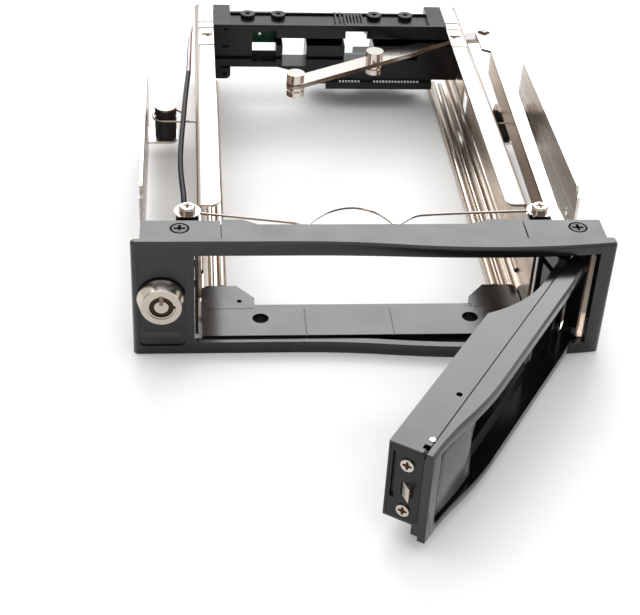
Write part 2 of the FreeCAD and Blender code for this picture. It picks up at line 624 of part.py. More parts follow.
for side, name in ((-1, "left_rail"), (1, "right_rail")):
    rail = node(name)
    inner = rail_inner
    pad(rail, "XZ", s.rail_front, s.rail_rear,
        mirrored([(rail_foot, s.ground_gap), (rail_outer - 2, s.ground_gap),
                  Bend(rail_outer, s.ground_gap + 2, 2, 1), (rail_outer, s.rail_top - 2),
                  (inner, s.rail_top - 2), (inner, rail_floor + 1), Bend(inner - 1, rail_floor, 1, -1),
                  (rail_foot, rail_floor)], side))
    pad(rail, "XZ", s.lip_front, s.rail_rear,
        mirrored([(rail_lip, s.rail_top - s.sheet), (inner - 1, s.rail_top - s.sheet),
                  Bend(inner, s.rail_top - 2, 1, -1), (rail_outer, s.rail_top - 2),
                  Bend(rail_outer - 2, s.rail_top, 2, 1), (rail_lip, s.rail_top)], side))
    pad(rail, "XZ", s.hem_front, s.hem_rear,
        ((rail_foot + s.hem_radius) * side, s.ground_gap + s.hem_radius, s.hem_radius))
    pad(rail, "XZ", s.hem_front, s.hem_rear,
        ((rail_foot + 5.0) * side, rail_floor, s.bead_radius),
        (inner * side, s.wall_bead_level, s.bead_radius))
    top = s.rail_top - s.sheet
    for x, y, turn in ((rail_lip, s.lip_front, 1), (rail_lip, s.rail_rear, -1)):
        inward = 3.0 * turn
        cut(rail, "XY", top, s.rail_top,
            mirrored([(x - 0.5, y - 0.5 * turn), (x + 3.0, y - 0.5 * turn), (x + 3.0, y),
                      Bend(x, y + inward, 3.0, -turn), (x - 0.5, y + inward)], side))
    cut(rail, "XY", s.rail_top - 0.3, s.rail_top,
        *[mirrored(box(rail_lip - 1, y, rail_outer - 1.5, y + 0.9), side) for y in (148.4, 164.1, 170.0)])
    cut(rail, "XY", s.rail_top - 0.45, s.rail_top,
        mirrored(rounded_box(rail_lip + 0.5, 150.5, rail_lip + 4.7, 159.2, as_size(0.5)), side))
    cut(rail, "XY", top, s.rail_top, ((rail_lip + 2.3) * side, 158.0, 0.8))
    if side > 0:
        cut(rail, "YZ", inner, rail_outer, box(139.5, 6.0, 150.5, 17.0))
        cut(rail, "YZ", inner, rail_outer,
            box(158.6, s.lever_level - 0.7, 178.0, s.lever_level + s.lever_thick + 0.7))
    else:
        cut(rail, "YZ", -rail_outer, -inner, box(179.0, 24.0, 184.0, 29.0))

# ---- side plates, dampers and their wire clips ---------------------------------------

hole_rows = [(s.mount_front + s.mount_pitch * step, level)
             for step in (0, 1) for level in (s.mount_low, s.mount_high)]
tab_rear = s.plate_rear - 0.1
tab_reach = plate_inner - s.tab_width
for side, name in ((-1, "left_side_plate"), (1, "right_side_plate")):
    plate = node(name)
    low, high = (plate_inner, plate_outer) if side > 0 else (-plate_outer, -plate_inner)
    pad(plate, "YZ", low, high,
        [(3.0, 8.0), (s.plate_front, 8.0), (s.plate_front, s.plate_bottom),
         (s.plate_rear, s.plate_bottom), (s.plate_rear + 0.5, 22.0),
         (s.plate_rear - 1, s.plate_top), (s.plate_front + 3, s.plate_top),
         (s.plate_front + 3, s.plate_top - 3), (s.plate_front, s.plate_top - 3),
         (s.plate_front, 20.0), (3.0, 20.0)])
    cut(plate, "YZ", low, high, *[(y, z, s.mount_radius) for y, z in hole_rows])
    cut(plate, "YZ", low, high, (6.0, 14.0, 2.4))
    pad(plate, "XY", s.plate_bottom, s.plate_bottom + s.sheet,
        mirrored([(plate_inner + 0.5, tab_rear - s.tab_depth), (plate_inner + 0.5, tab_rear),
                  (tab_reach + 3, tab_rear), Bend(tab_reach, tab_rear - 3, 3, 1),
                  (tab_reach, tab_rear - s.tab_depth + 3),
                  Bend(tab_reach + 3, tab_rear - s.tab_depth, 3, 1)], side))
plate_screws = node("plate_screws")
for side in (-1, 1):
    low, high = (plate_inner, plate_outer) if side > 0 else (-plate_outer, -plate_inner)
    pad(plate_screws, "YZ", low, high, (6.0, 14.0, 2.35))

damper_base = s.plate_bottom + s.sheet
groove = damper_base + s.damper_groove
damper_y = tab_rear - s.tab_depth / 2
damper_off = plate_inner - s.damper_inset
for side, name in ((-1, "left_damper"), (1, "right_damper")):
    damper = node(name)
    turn_profile(damper, [(0, damper_base), (s.damper_radius, damper_base),
                          (s.damper_radius, groove - 0.9), (s.damper_radius - 0.8, groove - 0.4),
                          (s.damper_radius - 0.8, groove + 0.4), (s.damper_radius, groove + 0.9),
                          (s.damper_radius, damper_base + s.damper_height),
                          (0, damper_base + s.damper_height)])
    place(damper, damper_off * side, damper_y, 0)
caps = node("damper_caps")
pad(caps, "XY", damper_base + s.damper_height, damper_base + s.damper_height + s.cap_thick,
    *[(damper_off * side, damper_y, s.damper_radius - 0.1) for side in (-1, 1)])
for side, name in ((-1, "left_damper_clip"), (1, "right_damper_clip")):
    ring = (s.damper_radius + s.clip_wire + 0.1).value
    far, mid, y = damper_off.value, groove.value, damper_y.value
    wall = rail_outer.value + 0.05
    points = [(wall, y - ring), (far + ring, y - ring), (far + ring, y + ring),
              (far - 4.4, y + ring), (far - 6.0, y + ring - 1.8)]
    tube(name, [[(x * side, y, mid) for x, y in points]], s.clip_wire)

# ---- backplane housing, its boards and connectors ------------------------------------

side_x = rail_inner - 0.2
lip_x = rail_lip - 0.2
under_lip = s.rail_top - s.sheet
ear_x = rail_outer - 14.3
foot_round = 2.1
trough_floor = s.housing_top - s.trough_depth
housing = node("backplane_housing")
pad(housing, "XZ", s.housing_front, s.housing_rear,
    [(-side_x, s.housing_low), (-ear_x - foot_round, s.housing_low),
     Bend(-ear_x, s.housing_low + foot_round, foot_round, 1), (-ear_x, s.housing_left_low),
     (-21, s.housing_left_low), (-1, s.housing_low), (side_x, s.housing_low),
     (side_x, under_lip - 1), (side_x - 1, under_lip), (lip_x, under_lip), (lip_x, s.housing_top),
     (-lip_x, s.housing_top), (-lip_x, under_lip), (1 - side_x, under_lip), (-side_x, under_lip - 1)])
pad(housing, "XZ", s.housing_rear, s.ear_rear,
    *[mirrored([(ear_x, s.housing_low + foot_round), (ear_x + foot_round, s.housing_low),
                (side_x, s.housing_low), (side_x, under_lip - 1), (side_x - 1, under_lip),
                (lip_x, under_lip), (lip_x, s.housing_top), (ear_x, s.housing_top)], side)
      for side in (-1, 1)])
# an open trough along the top, with screw bosses, two ribs and a slotted panel
cut(housing, "XY", trough_floor, s.housing_top,
    box(-ear_x, s.housing_front + 1.0, ear_x, s.housing_rear - 0.8))
cut(housing, "XY", s.housing_top - 0.8, s.housing_top,
    box(-ear_x, s.housing_rear - 0.8, ear_x, s.housing_rear))
boss_places = [(x, s.housing_front + 11.2) for x in (-32.8, -20.5, 18.5, 31.2)]
pad(housing, "XY", trough_floor, s.housing_top, *[(x, y, 2.9) for x, y in boss_places],
    *[box(x, s.housing_front + 1.0, x + 0.6, s.housing_rear - 0.8) for x in (2.2, 4.2)],
    box(5.8, s.housing_front + 1.0, 13.4, s.housing_rear - 3.0))
cut(housing, "XY", trough_floor, s.housing_top, *[(x, y, 1.0) for x, y in boss_places],
    *[box(6.6 + 1.4 * step, s.housing_front + 2.4, 7.2 + 1.4 * step, s.housing_rear - 3.8)
      for step in range(5)])
# front: a long groove, the lever's slot, and small recesses on the left foot
cut(housing, "XZ", s.housing_front, s.housing_front + 1.6, box(0.4 - rail_lip, 21.3, ear_x - 3.9, 24.1))
slot_rear = s.pivot_y + s.lever_width / 2 + 1.0
far_roller_x, near_roller_x = -s.far_roller, s.near_roller
cut(housing, "XZ", s.housing_front, slot_rear,
    box(far_roller_x - s.lever_width / 2 - 0.4, s.lever_level - 0.6,
        side_x + 1, s.lever_level + s.lever_thick + 0.8))
cut(housing, "XZ", s.housing_front, s.housing_front + 1.0, (2.3 - ear_x - 4.6, 15.0, 0.8),
    (-ear_x - 2.0, 34.4, 0.7), box(-ear_x - 3.6, 17.2, -ear_x - 0.8, 19.1),
    box(-ear_x - 3.6, 26.3, -ear_x - 0.8, 32.6))
# three windows: both rollers enter one, and the light of the indicator shows in the first
window_top = s.lever_level + s.lever_thick + s.roller_up + 0.5
green_left, green_right = far_roller_x - s.roller_radius - 0.6, far_roller_x + 5.6
clear_left, clear_right = green_right + 2.7, green_right + 12.3
step_left, step_right = near_roller_x - 4.4, near_roller_x + 4.2
cut(housing, "XZ", s.housing_front, s.housing_rear,
    box(green_left, 20.2, green_right, window_top), box(clear_left, 18.4, clear_right, 30.3),
    [(step_left, 18.8), (step_right + 3.1, 18.8), (step_right + 3.1, 29.0), (step_right, 29.0),
     (step_right, window_top), (step_left, window_top)])
cut(housing, "XZ", s.housing_front + s.sill_depth, s.housing_rear,
    box(green_left, 10.0, clear_right, 24.0), box(step_left, 10.0, step_right + 3.1, 24.0))
cut(housing, "XY", s.lever_level - 4, s.lever_level + s.lever_thick + 3, (pivot_x, s.pivot_y, 1.5 + s.fit))
board_rear = s.housing_rear + s.board_thick
indicator = node("indicator_pcb")
pad(indicator, "XZ", s.housing_rear, board_rear,
    box(-ear_x + 0.2, 22.0, green_right + 1.3, 35.0))
cut(indicator, "XZ", s.housing_rear, board_rear, (green_right - 5.9, 25.7, 0.6))
board = node("connector_pcb")
pad(board, "XZ", s.housing_rear, board_rear, box(-7.0, 3.4, ear_x - 0.2, 17.0))
connector = node("sata_connector")
connector_low, contact_level = s.housing_low - 3.7, s.housing_low - 0.6
pad(connector, "XZ", s.housing_front, s.housing_rear, box(-1.0, connector_low, ear_x + 2.7, s.housing_low))
pad(connector, "XZ", s.housing_front - 1.4, s.housing_front,
    box(-1.0, connector_low, ear_x + 2.7, contact_level))
contacts = node("sata_contacts")
pins = [s.signal_left + s.contact_pitch * step for step in range(7)]
pins += [s.power_left + s.contact_pitch * step for step in range(15)]
pad(contacts, "XY", contact_level, contact_level + 0.15,
    *[box(x, s.housing_front - 1.3, x + 0.75, s.housing_front) for x in pins])
ports = node("rear_ports")
ports_rear = board_rear + 7.6
pad(ports, "XZ", board_rear, ports_rear,
    rounded_box(as_size(-6.0), 7.0, as_size(8.0), 12.2, as_size(0.8)),
    rounded_box(as_size(12.0), 6.2, as_size(34.5), 16.2, as_size(0.8)))
cut(ports, "XZ", board_rear + 1.6, ports_rear,
    box(-4.8, 8.2, 6.8, 11.0), *[(14.9 + 5.08 * step, 11.2, 1.7) for step in range(4)])

# ---- ejector lever: drawn in its own frame about the pivot, shut along -x ------------

def on_lever(item):
    place(item, pivot_x, s.pivot_y, 0, angle=s.lever_open)


lever_top = s.lever_level + s.lever_thick
pivot_screw = node("lever_pivot_screw")
pad(pivot_screw, "XY", s.lever_level - 3.6, lever_top + 2.6, (pivot_x, s.pivot_y, 1.5))
lever = node("ejector_lever")
zero = as_size(0)
half, waist = s.lever_width / 2, s.lever_waist / 2
pad(lever, "XY", s.lever_level, lever_top,
    [(-12, -waist), (0, -waist), Bend(waist, 0, waist, 1), Bend(0, waist, waist, 1), (-12, waist),
     (-22, half), (-roller_far, half), Bend(-roller_far - half, 0, half, 1),
     Bend(-roller_far, -half, half, 1), (-22, -half)])
pad(lever, "XY", s.lever_level, lever_top, capsule(zero, zero, s.arm_length, -s.arm_drop, half - 0.6))
cut(lever, "XY", s.lever_level, lever_top, (0, 0, 1.5 + s.fit),
    (cosine(-s.arm_drop) * s.arm_length, sine(-s.arm_drop) * s.arm_length, s.link_pin_radius + s.fit))
on_lever(lever)
rollers = node("ejector_rollers")
roller_places = [(-roller_near, 0, s.roller_radius), (-roller_far, 0, s.roller_radius)]
pad(rollers, "XY", lever_top, lever_top + s.roller_up, *roller_places)
pad(rollers, "XY", s.lever_level - 1.0, s.lever_level, *roller_places)
pad(rollers, "XY", s.lever_level - 1.8, s.lever_level - 1.0,
    *[(x, y, radius - 0.6) for x, y, radius in roller_places])
pad(rollers, "XY", s.lever_level - s.roller_down, s.lever_level - 1.8, *roller_places)
on_lever(rollers)
lever_pin = node("lever_pin")
pin_place = (cosine(-s.arm_drop) * s.arm_length, sine(-s.arm_drop) * s.arm_length)
pad(lever_pin, "XY", s.lever_level - 0.8, lever_top + 2.0, (*pin_place, s.link_pin_radius))
on_lever(lever_pin)

# ---- link bar from the door's crank to the lever -------------------------------------

crank_now = s.door_open - s.crank_lag
pin_y = s.hinge_y + sine(crank_now) * s.crank_length
rear_pin_x = pivot_x + cosine(s.lever_open - s.arm_drop) * s.arm_length
rear_pin_y = s.pivot_y + sine(s.lever_open - s.arm_drop) * s.arm_length
link_low, link_top = lever_top + 0.2, lever_top + 1.2
link = node("link_bar")
pad(link, "XY", link_low, link_top,
    [(hinge_x + 3.2, pin_y - 2.65), (hinge_x + 10.9, pin_y - 2.65), (hinge_x + 10.9, pin_y + 4.2),
     (hinge_x + 7.7, 22.0), (hinge_x + 6.9, 36.0), (rear_pin_x + 5.0, 149.5), (rear_pin_x + 3.3, 155.0),
     (rear_pin_x + 3.3, rear_pin_y), Bend(rear_pin_x + 0.4, rear_pin_y + 2.9, 2.9, 1),
     (rear_pin_x - 0.6, rear_pin_y + 2.9), Bend(rear_pin_x - 3.5, rear_pin_y, 2.9, 1),
     (rear_pin_x - 3.5, 155.0), (rear_pin_x - 0.2, 153.0), (hinge_x + 2.7, 36.0), (hinge_x + 3.2, 24.0)])
cut(link, "XY", link_low, link_top,
    box(hinge_x + 1.8, pin_y - 1.8, hinge_x + 10.0, pin_y + 1.8),
    capsule(rear_pin_x - 1.0, rear_pin_y, as_size(1.5), 0, s.link_pin_radius + 0.4))
pad(link, "XY", link_low - s.link_wall, link_low,
    [(hinge_x + 2.7, 38.0), (hinge_x + 3.7, 38.0), (rear_pin_x + 0.8, 153.0), (rear_pin_x - 0.2, 153.0)])

# ---- door: drawn shut, in its own frame about the hinge ------------------------------

def on_door(item):
    place(item, hinge_x, s.hinge_y, 0, angle=s.door_open)


def at_hinge(corners):
    return shift(corners, -hinge_x, -s.hinge_y)


def spot(x, y, radius):
    return (x - hinge_x, y - s.hinge_y, radius)


door_left = opening_left + s.door_gap
door_top = s.door_high - s.body_drop
door_tail = hinge_x + s.tail_length
scoop_end = hinge_x - s.scoop_margin
thin_x = hinge_x - s.thin_part
handle_x = door_left + s.handle_inset
front = -s.door_front
crest = front - s.door_swell
frame_back = front + s.frame_thick
frame = node("door_frame")
nose = s.frame_thick
pad(frame, "XY", s.door_low, s.door_high,
    at_hinge([(door_left, frame_back), (door_left, front),
              *ogee(door_left, front, s.swell_end, crest, -1), (s.door_peak, crest),
              flat_arc(s.door_peak, crest, door_tail - 2.0, crest + s.tail_relief - 0.4, 1),
              Bend(door_tail, crest + s.tail_relief + 1.7, 2.3, 1),
              (door_tail - 2.4, crest + s.tail_relief + nose + 0.6), (scoop_end - 4, frame_back)]))
cut(frame, "XZ", -18, 0 - s.hinge_y,
    shift(rounded_box(door_left + s.frame_side + 1.7, 7.2, scoop_end - 0.6, 32.2, as_size(1.8)),
          -hinge_x, 0))
dress(frame, "Chamfer", 0.7, lambda edge: lies_at(z=s.door_high)(edge)
      and edge.BoundBox.YMax < frame_back.value - s.hinge_y.value - 0.1)
on_door(frame)

end_x = door_left + 0.5
door = node("door_body")
pad(door, "XY", s.body_low, door_top,
    at_hinge([(end_x, frame_back), (scoop_end, frame_back), (scoop_end, s.thin_back),
              (thin_x, s.thin_back), Bend(s.bend_x, s.body_back, 40.0, -1), (end_x, s.body_back)]))
pad(door, "XY", 5.6, door_top, at_hinge(box(end_x, frame_back, scoop_end - 1, 1.6)))
pad(door, "XY", s.body_low, plate_base - 0.4,
    at_hinge([(hinge_x - 9.2, frame_back), (hinge_x + 2.4, frame_back), (hinge_x + 4.4, 3.6),
              (hinge_x + 2.4, 9.3), (hinge_x - 3.6, 8.2), (hinge_x - 9.2, s.thin_back)]))
cut(door, "XY", s.crank_level - 2.2, s.crank_level, (0, 0, 14.0), (0, 0, 2.6))
pad(door, "XY", s.crank_level, s.crank_level + s.crank_thick,
    capsule(zero, zero, s.crank_length, -s.crank_lag, as_size(2.4)))
cut(door, "XY", s.body_low, plate_base, (0, 0, s.hinge_pin_radius + s.fit))
# front recess: a shallow step all round, then a scoop that deepens toward the latch end
window_left = door_left + s.frame_side + 1.7
cut(door, "XZ", frame_back - s.hinge_y, s.window_sink - s.hinge_y,
    shift(rounded_box(window_left, 7.2, scoop_end - 1.6, 32.2, as_size(1.8)), -hinge_x, 0))
cut(door, "XY", s.body_low + 1.0, 32.2,
    at_hinge([(window_left, frame_back), (window_left, 2.2), (window_left + 4.0, 7.6),
              (-18.0, s.body_back - 1.3), (8.0, s.body_back - 1.8),
              Bend(thin_x + 4.0, s.window_sink, 60.0, 1), (thin_x + 4.0, frame_back)]))
cap_low, cap_high = as_size(10.0), as_size(34.4)
cut(door, "YZ", end_x - hinge_x, end_x + 2 - hinge_x,
    box(0.0 - s.hinge_y, cap_low, 9.6 - s.hinge_y, cap_high))
cut(door, "XY", s.bolt_low - 0.1, s.bolt_high + 0.1,
    at_hinge(box(end_x, s.bolt_front - 0.1, window_left + 2.2, s.bolt_back + 0.1)))
handle_place = spot(handle_x, s.handle_y, 1.8)
cut(door, "XY", 8.0, 31.6, handle_place)
cut(door, "XY", 6.4, door_top, spot(handle_x, s.handle_y, 0.8 + s.fit))
cut(door, "XY", door_top - 3, door_top, spot(-26.3, 2.2, 0.9))
# the line between body and frame on top, and the L-shaped slot beside the handle's pin
cut(door, "XY", door_top - 1.0, door_top, at_hinge(box(end_x, frame_back, scoop_end - 4, frame_back + 0.5)))
cut(door, "XY", door_top - 2.0, door_top,
    at_hinge([(end_x, frame_back), (end_x + 3.4, frame_back), (end_x + 3.4, 1.6), (end_x + 1.6, 1.6),
              (end_x + 1.6, 0.6), (end_x, 0.6)]))
on_door(door)

cap = node("door_end_cap")
pad(cap, "YZ", end_x - hinge_x, end_x + 2 - hinge_x,
    box(s.fit - s.hinge_y, cap_low + s.fit, 9.6 - s.fit - s.hinge_y, cap_high - s.fit))
cut(cap, "YZ", end_x - hinge_x, end_x + 2 - hinge_x,
    box(s.bolt_front - s.fit - s.hinge_y, s.bolt_low - s.fit,
        s.bolt_back + s.fit - s.hinge_y, s.bolt_high + s.fit))
cut(cap, "YZ", end_x - hinge_x, end_x + 1 - hinge_x,
    box(7.7 - s.hinge_y, 16.3, 8.8 - s.hinge_y, 32.1))
on_door(cap)
end_screws = node("door_end_screws")
end_screw_places = [(4.4 - s.hinge_y, 29.1), (4.4 - s.hinge_y, 13.2)]
screw_face = end_x - 0.6 - hinge_x
pad(end_screws, "YZ", screw_face, end_x - hinge_x, *[(y, z, 1.9) for y, z in end_screw_places])
cut(end_screws, "YZ", screw_face, screw_face + 0.4, *[cross(y, z, 1.3, 0.3) for y, z in end_screw_places])
on_door(end_screws)
bolt = node("latch_bolt")
tip = end_x - s.bolt_proud
pad(bolt, "XY", s.bolt_low, s.bolt_high,
    at_hinge([(tip, s.bolt_front), (end_x + 3.6, s.bolt_front), (end_x + 3.6, s.bolt_back),
              (end_x + 0.3, s.bolt_back)]))
on_door(bolt)
crank_pin = node("crank_pin")
pad(crank_pin, "XY", s.crank_level - 2.4, s.crank_level,
    (cosine(-s.crank_lag) * s.crank_length, sine(-s.crank_lag) * s.crank_length, 1.5))
on_door(crank_pin)

# ---- release handle, drawn about its own pin -----------------------------------------

hand_x, hand_y = handle_x - hinge_x, s.handle_y - s.hinge_y
turned_x = hinge_x + cosine(s.door_open) * hand_x - sine(s.door_open) * hand_y
turned_y = s.hinge_y + sine(s.door_open) * hand_x + cosine(s.door_open) * hand_y
handle = node("release_handle")
grip = s.handle_length
pad(handle, "XY", 8.8, 30.8,
    [(0.4, -3.0), flat_arc(0.4, -3.0, grip, -4.4, 1), (grip, -3.1), (2.4, -1.2), (1.3, 0.6),
     (-0.6, 0.6), (-0.6, -1.0)])
pad(handle, "XY", 8.8, 30.8, (0, 0, 1.5))
cut(handle, "XY", 8.8, 30.8, (0, 0, 0.8 + s.fit))
cut(handle, "XZ", -5.0, -2.0,
    [(grip + 1, 31.0), (grip - 0.2, 31.0), Bend(grip - 2.8, 19.5, 14.0, 1), (grip - 0.6, 8.0),
     (grip + 1, 8.0)])
place(handle, turned_x, turned_y, 0, angle=s.door_open)
handle_pin = node("handle_pin")
pad(handle_pin, "XY", 6.4, door_top + 0.2, (0, 0, 0.8))
place(handle_pin, turned_x, turned_y, 0, angle=s.door_open)

# ---- LED lead ------------------------------------------------------------------------

def beside_rail(points):
    """Points of the lead, whose first number is the distance outside the left rail."""
    return [(-rail_outer.value - out, y, z) for out, y, z in points]


tube("led_lead", [beside_rail([
    (9.8, 3.6, 8.0), (8.8, 14.0, 9.0), (6.3, 24.0, 17.0), (4.2, 34.0, 26.0), (4.4, 46.0, 28.6),
    (5.3, 60.0, 27.4), (5.7, 76.0, 25.2), (5.3, 92.0, 24.2), (4.6, 107.0, 24.2), (3.9, 122.0, 24.8),
    (3.2, 134.0, 25.0), (2.6, 143.0, 25.6)])], s.lead_radius)
tube("led_wires", [beside_rail([
    (2.6 - dx, 143.1, 25.6 + dz), (2.2 - dx, 158.0, 27.0 + 1.6 * dz),
    (1.8 - dx / 2, 173.0, 28.0 + dz), (1.1, 180.0, 27.0 + 1.4 * dz)])
    for dx, dz in ((-0.45, -0.35), (0.45, -0.3), (0.0, 0.5))], s.strand_radius)

# ---- checks and export ---------------------------------------------------------------

doc.recompute()
for item in doc.Objects:
    faults = [word for word in item.State if word in ("Invalid", "Error")]
    if faults:
        raise RuntimeError("%s (%s) is in state %s" % (item.Label, item.Name, faults))
os.makedirs("parts", exist_ok=True)
for item in nodes:
    if item.Shape.isNull() or not item.Shape.isValid():
        raise RuntimeError("%s has no valid shape" % item.Label)
    item.Shape.exportStep("parts/%s.step" % item.Label)
    box_now = item.Shape.BoundBox
    print("%-20s solids %d volume %9.1f box %s" % (
        item.Label, len(item.Shape.Solids), item.Shape.Volume,
        " ".join("%.1f" % value for value in (box_now.XMin, box_now.XMax, box_now.YMin,
                                              box_now.YMax, box_now.ZMin, box_now.ZMax))))
print(len(nodes), "nodes")
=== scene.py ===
"""Dresses the solids of the hot swap drive cage: finishes, small trim, wires, light and camera."""
import math

import bpy
from mathutils import Matrix, Vector


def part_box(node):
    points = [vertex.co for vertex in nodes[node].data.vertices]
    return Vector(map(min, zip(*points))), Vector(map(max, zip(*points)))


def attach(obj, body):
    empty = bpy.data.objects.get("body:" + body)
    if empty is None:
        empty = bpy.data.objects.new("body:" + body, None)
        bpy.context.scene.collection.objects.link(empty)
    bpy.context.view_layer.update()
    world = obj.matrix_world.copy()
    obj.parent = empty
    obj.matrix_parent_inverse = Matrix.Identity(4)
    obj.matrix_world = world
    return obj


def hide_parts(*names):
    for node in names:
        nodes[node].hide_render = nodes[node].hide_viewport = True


MM = 0.001
X, Y, Z = (1, 0, 0), (0, 1, 0), (0, 0, 1)

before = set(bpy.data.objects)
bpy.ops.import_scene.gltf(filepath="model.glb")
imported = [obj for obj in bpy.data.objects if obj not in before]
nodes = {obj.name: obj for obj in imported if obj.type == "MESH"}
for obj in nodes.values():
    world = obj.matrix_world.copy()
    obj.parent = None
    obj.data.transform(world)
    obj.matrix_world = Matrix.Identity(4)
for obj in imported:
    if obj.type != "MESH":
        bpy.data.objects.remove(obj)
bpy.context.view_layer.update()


# ---- camera, floor and light ---------------------------------------------------------

CAMERA_PLACE = (-56.5, -362.3, 276.9)
CAMERA_ANGLES = (6.35, 35.62, 3.28)
CAMERA_LENS = 80.4
SENSOR_WIDTH = 36

FLOOR_SIZE = 30
FLOOR_LEVEL = -0.0002
FLOOR_COLOUR = (0.88, 0.885, 0.885)

# Each lamp's place, the point it faces, its width and height in metres, and its power in watts.
LAMPS = {
    "key": ((-0.5, 0.35, 1.2), (0, 0.05, 0), (1.1, 0.9), 1.5),
    "behind": ((0.15, 1.38, 1.08), (0, 0, 0), (1.35, 0.6), 12.5),
    "front_left": ((-0.75, -0.75, 0.55), (0, 0, 0), (0.35, 0.5), 1.0),
    "right_side": ((0.95, 0.1, 0.5), (0, 0.05, 0), (0.5, 0.8), 1.5),
}

WORLD_FRONT = (0.42, 0.40, 0.39)
WORLD_BACK = (1.0, 1.0, 1.0)
WORLD_ABOVE = (1.42, 1.42, 1.42)
# Where the front fades into the back, and both into the top, along a direction's Y and Z.
FRONT_TO_BACK = (-0.15, 0.4)
LEVEL_TO_ABOVE = (0.5, 0.85)


def make_camera():
    """The photograph's viewpoint: a short telephoto above and left of the middle."""
    yaw, pitch, roll = (math.radians(angle) for angle in CAMERA_ANGLES)
    forward = Vector((math.sin(yaw) * math.cos(pitch), math.cos(yaw) * math.cos(pitch),
                      -math.sin(pitch)))
    level = Vector((math.cos(yaw), -math.sin(yaw), 0))
    lift = level.cross(forward)
    right = level * math.cos(roll) + lift * math.sin(roll)
    up = lift * math.cos(roll) - level * math.sin(roll)
    data = bpy.data.cameras.new("camera")
    data.lens = CAMERA_LENS
    data.sensor_width = SENSOR_WIDTH
    data.clip_start, data.clip_end = 0.01, 20
    camera = bpy.data.objects.new("camera", data)
    rows = [(right[i], up[i], -forward[i], CAMERA_PLACE[i] * MM) for i in range(3)]
    camera.matrix_world = Matrix((*rows, (0, 0, 0, 1)))
    bpy.context.scene.collection.objects.link(camera)
    bpy.context.scene.camera = camera


def make_lamps():
    for name, (place, target, size, power) in LAMPS.items():
        data = bpy.data.lights.new(name, "AREA")
        data.shape = "RECTANGLE"
        data.size, data.size_y = size
        data.energy = power
        lamp = bpy.data.objects.new(name, data)
        lamp.location = place
        aim = Vector(target) - Vector(place)
        lamp.rotation_euler = aim.to_track_quat("-Z", "Y").to_euler()
        bpy.context.scene.collection.objects.link(lamp)


def make_floor():
    bpy.ops.mesh.primitive_plane_add(size=FLOOR_SIZE, location=(0, 0, FLOOR_LEVEL))
    floor = bpy.context.object
    floor.name = "floor"
    material, _, shader = new_material("floor")
    shader.inputs["Base Color"].default_value = (*FLOOR_COLOUR, 1)
    shader.inputs["Roughness"].default_value = 0.7
    shader.inputs["Specular IOR Level"].default_value = 0.1
    floor.data.materials.append(material)


def make_world():
    """A studio that is brightest above, white behind the object and dim and warm in front."""
    world = bpy.data.worlds.new("studio")
    world.use_nodes = True
    tree = world.node_tree
    tree.nodes.clear()
    direction = add_direction(tree, "Generated")
    backward = add_step(tree, direction.outputs["Y"], *FRONT_TO_BACK)
    upward = add_step(tree, direction.outputs["Z"], *LEVEL_TO_ABOVE)
    around = add_mix(tree, backward, WORLD_FRONT, WORLD_BACK)
    background = tree.nodes.new("ShaderNodeBackground")
    tree.links.new(add_mix(tree, upward, around, WORLD_ABOVE), background.inputs["Color"])
    output = tree.nodes.new("ShaderNodeOutputWorld")
    tree.links.new(background.outputs[0], output.inputs[0])
    bpy.context.scene.world = world


# ---- shader nodes --------------------------------------------------------------------

# The stretch of a noise's values that is spread over a range, and over a pair of colours.
NOISE_RANGE = (0.3, 0.7)
NOISE_COLOURS = (0.35, 0.65)


def new_material(name):
    material = bpy.data.materials.new(name)
    material.use_nodes = True
    tree = material.node_tree
    return material, tree, tree.nodes["Principled BSDF"]


def add_direction(tree, coordinate):
    """A texture coordinate that is a direction, split into its X, Y and Z."""
    place = tree.nodes.new("ShaderNodeTexCoord")
    split = tree.nodes.new("ShaderNodeSeparateXYZ")
    tree.links.new(place.outputs[coordinate], split.inputs[0])
    return split


def add_step(tree, source, low, high):
    """A smooth step from 0 at the low value to 1 at the high one."""
    step = tree.nodes.new("ShaderNodeMapRange")
    step.interpolation_type = "SMOOTHSTEP"
    step.inputs["From Min"].default_value = low
    step.inputs["From Max"].default_value = high
    tree.links.new(source, step.inputs["Value"])
    return step.outputs["Result"]


def add_mix(tree, share, first, second):
    """A mix of two colours, each a fixed one or another node's output."""
    mix = tree.nodes.new("ShaderNodeMix")
    mix.data_type = "RGBA"
    mix.clamp_factor = True
    tree.links.new(share, mix.inputs["Factor"])
    for socket, colour in ((mix.inputs[6], first), (mix.inputs[7], second)):
        if isinstance(colour, tuple):
            socket.default_value = (*colour, 1)
        else:
            tree.links.new(colour, socket)
    return mix.outputs[2]


def add_noise(tree, scale, detail, stretch=(1, 1, 1)):
    """Noise in the object's own coordinates, in cycles per metre."""
    place = tree.nodes.new("ShaderNodeTexCoord")
    mapping = tree.nodes.new("ShaderNodeMapping")
    mapping.inputs["Scale"].default_value = stretch
    noise = tree.nodes.new("ShaderNodeTexNoise")
    noise.inputs["Scale"].default_value = scale
    noise.inputs["Detail"].default_value = detail
    tree.links.new(place.outputs["Object"], mapping.inputs["Vector"])
    tree.links.new(mapping.outputs["Vector"], noise.inputs["Vector"])
    return noise


def add_range(tree, noise, low, high):
    """The noise mapped to a range of values."""
    spread = tree.nodes.new("ShaderNodeMapRange")
    spread.inputs["From Min"].default_value = NOISE_RANGE[0]
    spread.inputs["From Max"].default_value = NOISE_RANGE[1]
    spread.inputs["To Min"].default_value = low
    spread.inputs["To Max"].default_value = high
    tree.links.new(noise.outputs["Fac"], spread.inputs["Value"])
    return spread.outputs["Result"]


def add_colours(tree, noise, dark, light):
    """The noise mapped from a dark colour to a light one."""
    ramp = tree.nodes.new("ShaderNodeValToRGB")
    for end, position, colour in zip(ramp.color_ramp.elements, NOISE_COLOURS, (dark, light)):
        end.position = position
        end.color = (*colour, 1)
    tree.links.new(noise.outputs["Fac"], ramp.inputs["Fac"])
    return ramp.outputs["Color"]


